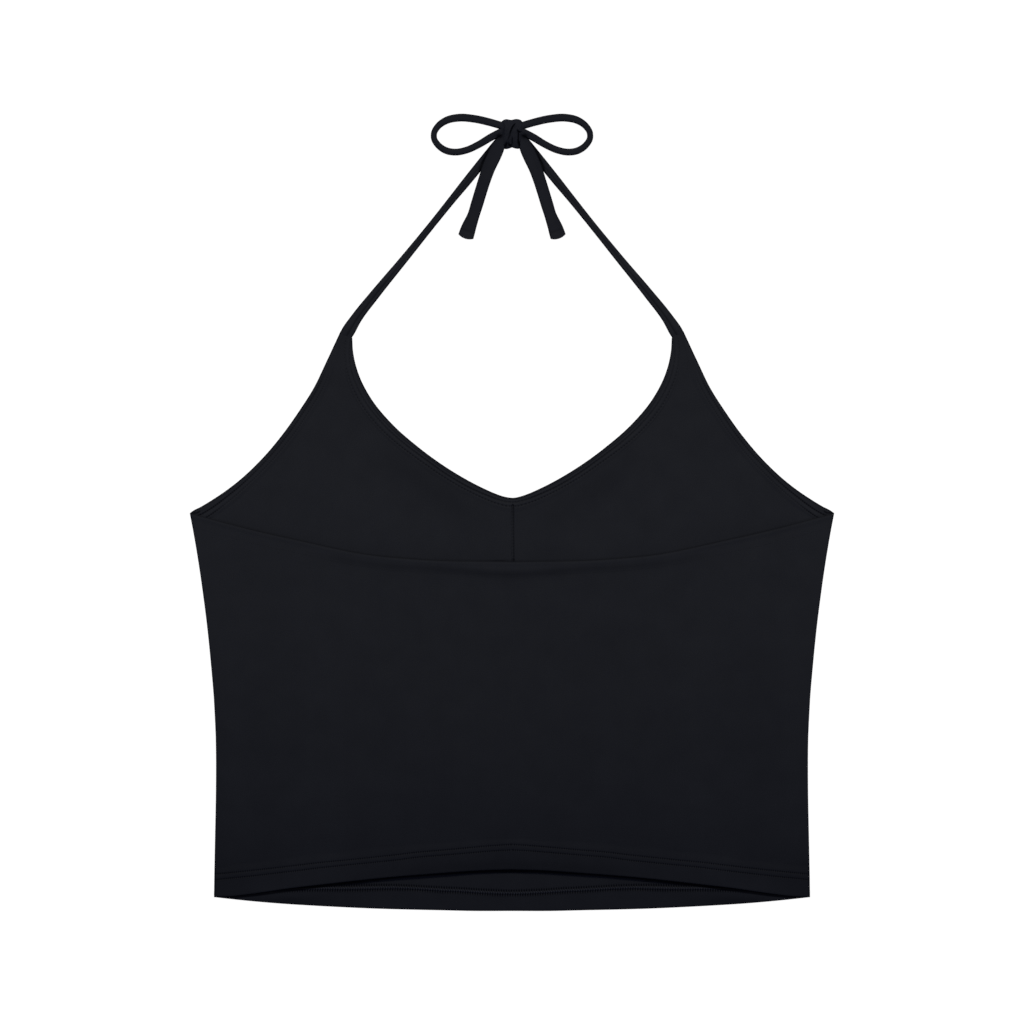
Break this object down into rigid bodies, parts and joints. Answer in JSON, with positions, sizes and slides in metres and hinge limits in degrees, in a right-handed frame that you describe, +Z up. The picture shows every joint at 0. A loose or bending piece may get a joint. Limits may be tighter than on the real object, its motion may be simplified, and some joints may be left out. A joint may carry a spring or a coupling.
{
  "type": "halter neck top",
  "caption": "Plain black halter neck crop top in stretch jersey, laid flat face down, with a V neck, a low back and its neck ties in a bow.",
  "frame": {"origin": "on the surface that the top lies on, at the middle of its outline seen from above", "axes": "+Y from the hem to the bow, +X to the right seen from above, +Z up from the surface"},
  "size_m": [0.4202, 0.5189, 0.007],
  "materials": {
    "panel_jersey": "black polyamide-elastane jersey, fine knit, soft matt sheen",
    "tie_jersey": "the same black jersey, folded into a narrow tie"
  },
  "bodies": {
    "root": {"front_bust_left": "panel_jersey", "front_bust_right": "panel_jersey", "front_body": "panel_jersey", "back_panel": "panel_jersey", "neck_strap_left": "tie_jersey", "neck_strap_right": "tie_jersey", "bow_loop_left": "tie_jersey", "bow_loop_right": "tie_jersey", "tie_end_left": "tie_jersey", "tie_end_right": "tie_jersey", "bow_knot": "tie_jersey"}
  },
  "joints": []
}
